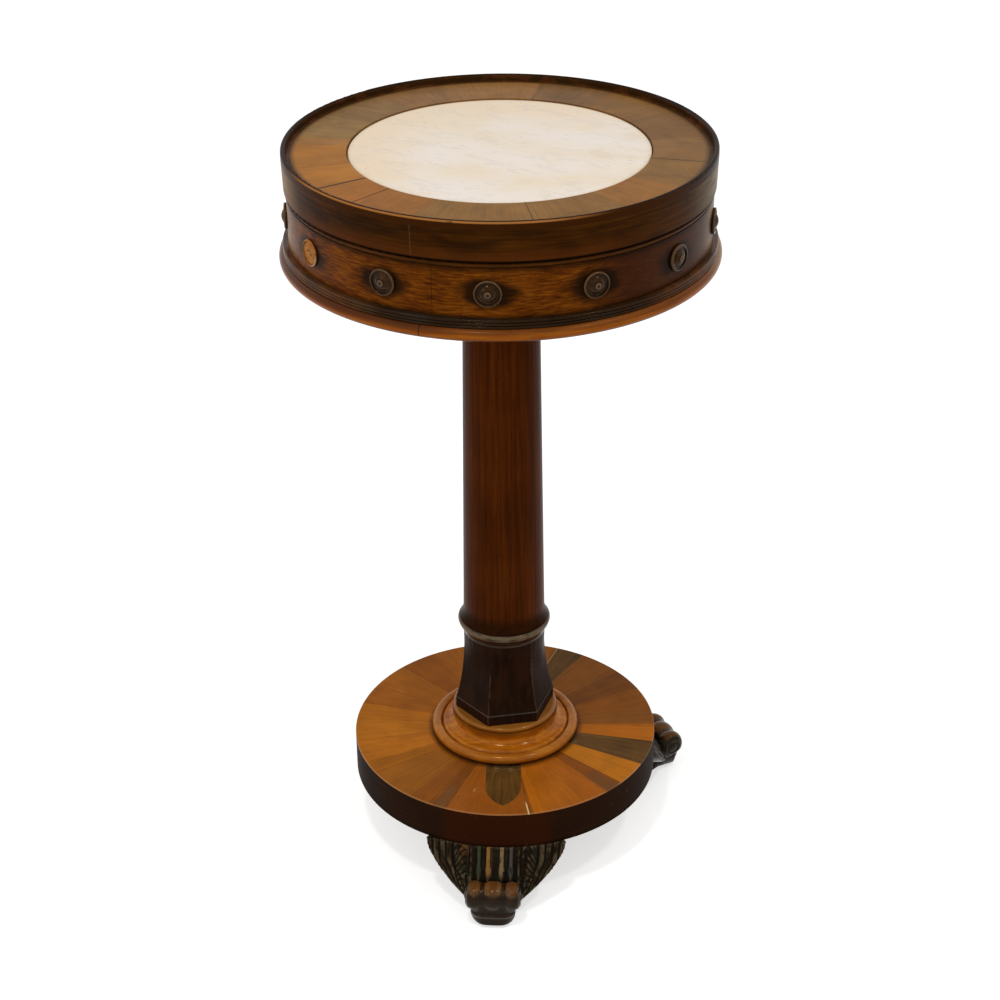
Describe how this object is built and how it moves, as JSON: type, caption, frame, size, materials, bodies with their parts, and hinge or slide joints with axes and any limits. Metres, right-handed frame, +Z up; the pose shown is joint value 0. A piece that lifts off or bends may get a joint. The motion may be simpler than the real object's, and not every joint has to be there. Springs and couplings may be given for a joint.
{
  "type": "round pedestal drum table",
  "caption": "Round drum table: marble let into a deep lid hinged over a shallow well, turned column, flared hexagonal block, round platform and carved scroll feet.",
  "frame": {"origin": "on the floor under the column's axis, at the middle of the bounding box's bottom", "axes": "+Z up along the column, -Y towards the front, where one foot and one boss point, +X to the right of a viewer at the front"},
  "size_m": [0.4159, 0.416, 0.756],
  "materials": {
    "marble": "honed cream marble with grey streaks",
    "top_veneer": "faded radial veneer, dull polish",
    "dark_moulding": "dark stained turned moulding, wax polish",
    "lid_veneer": "dark walnut veneer, french polish",
    "frieze_veneer": "red-brown walnut veneer, french polish",
    "ebonised_bead": "ebonised moulding, worn polish",
    "torus_wood": "orange-brown polished moulding",
    "boss_wood": "dark turned boss, polished",
    "worn_boss_wood": "bare worn wood",
    "shaft_wood": "dark red-brown french polish",
    "block_wood": "near-black stained wood, polished",
    "socle_wood": "orange-brown turned wood, polished",
    "platform_veneer": "radial walnut veneer, polished",
    "dark_patch_veneer": "darker veneer repairs",
    "platform_edge": "near-black stained edge band",
    "carved_foot_wood": "carved stained wood, worn golden on the crests",
    "carcase_wood": "unfinished secondary timber",
    "lining_paper": "dark green lining paper",
    "hinge_brass": "aged brass",
    "screw_iron": "dull iron"
  },
  "bodies": {
    "stand": {"frieze_hoop": "frieze_veneer", "frieze_bead": "ebonised_bead", "drum_floor": "carcase_wood", "well_lining": "lining_paper", "reeded_moulding": "ebonised_bead", "base_torus": "torus_wood", "boss_01": "boss_wood", "boss_02": "boss_wood", "boss_03": "boss_wood", "boss_04": "boss_wood", "boss_05": "boss_wood", "boss_06": "boss_wood", "boss_07": "boss_wood", "boss_08": "boss_wood", "boss_09": "boss_wood", "boss_10": "boss_wood", "boss_11": "boss_wood", "boss_12": "worn_boss_wood", "boss_13": "boss_wood", "left_hinge_frieze_leaf": "hinge_brass", "right_hinge_frieze_leaf": "hinge_brass", "frieze_hinge_screws": "hinge_brass", "left_hinge_pin": "hinge_brass", "right_hinge_pin": "hinge_brass", "bearer": "carcase_wood", "bearer_screws": "screw_iron", "shaft": "shaft_wood", "collar": "dark_moulding", "hexagonal_block": "block_wood", "socle": "socle_wood", "tenon_wedge": "carcase_wood", "platform_core": "carcase_wood", "platform_edge_band": "platform_edge", "platform_veneer": "platform_veneer", "platform_dark_wedges": "dark_patch_veneer", "platform_shield_patch": "dark_patch_veneer", "front_foot": "carved_foot_wood", "right_foot": "carved_foot_wood", "left_foot": "carved_foot_wood", "foot_screws": "screw_iron"},
    "lid": {"marble_disc": "marble", "top_crossbanding": "top_veneer", "gallery_lip": "dark_moulding", "lid_band": "lid_veneer", "lid_ground_ring": "carcase_wood", "lid_core": "carcase_wood", "left_hinge_lid_leaf": "hinge_brass", "right_hinge_lid_leaf": "hinge_brass", "lid_hinge_screws": "hinge_brass"}
  },
  "joints": [
    {"name": "lid_hinge", "type": "hinge", "parent": "stand", "child": "lid", "pos_m": [0, 0.2041, 0.7189], "axis": [-1, 0, 0], "range_deg": [0, 95]}
  ]
}
